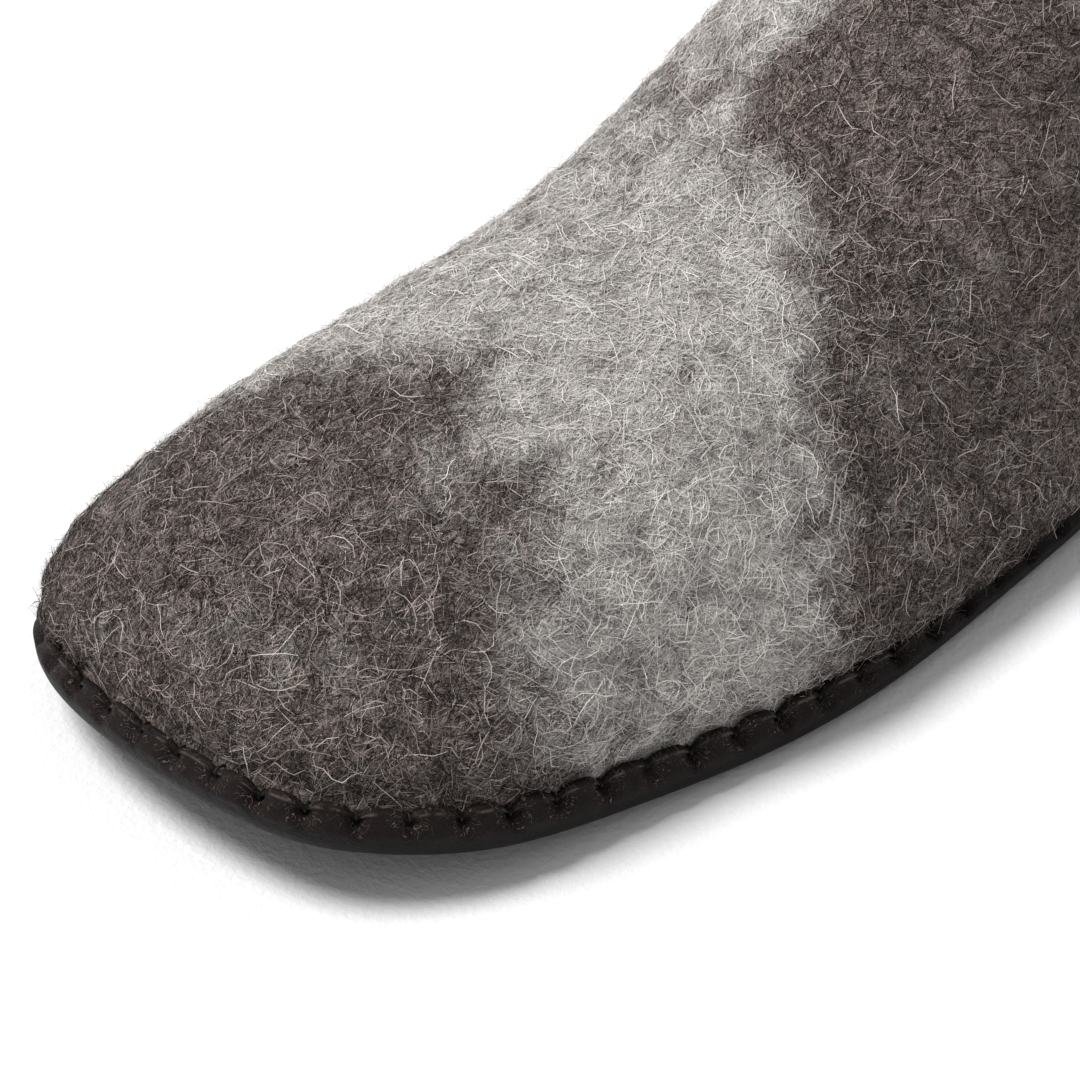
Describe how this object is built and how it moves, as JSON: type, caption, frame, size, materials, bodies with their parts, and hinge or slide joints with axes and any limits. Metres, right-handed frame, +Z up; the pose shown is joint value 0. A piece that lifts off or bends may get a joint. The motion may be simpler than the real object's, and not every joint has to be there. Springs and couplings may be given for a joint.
{
  "type": "felt slipper",
  "caption": "Left closed-back slipper of thick mottled wool felt, with a dark leather sole turned up round its foot as a stitched rim, and a loose felt insole.",
  "frame": {"origin": "centre of the bounding box in plan, at its bottom: the plane of the floor", "axes": "+Z up; +Y from toe to heel; +X to the outer side of the left foot"},
  "size_m": [0.1038, 0.2836, 0.0737],
  "materials": {
    "mottled_felt": "thick grey-brown wool felt in soft light and dark patches, hairy and matt",
    "dark_leather": "black-brown leather, satin, creased along the stitches and worn brown on the folds",
    "insole_felt": "grey wool felt, pressed flat"
  },
  "bodies": {
    "root": {"upper": "mottled_felt", "sole": "dark_leather", "insole": "insole_felt"}
  },
  "joints": []
}
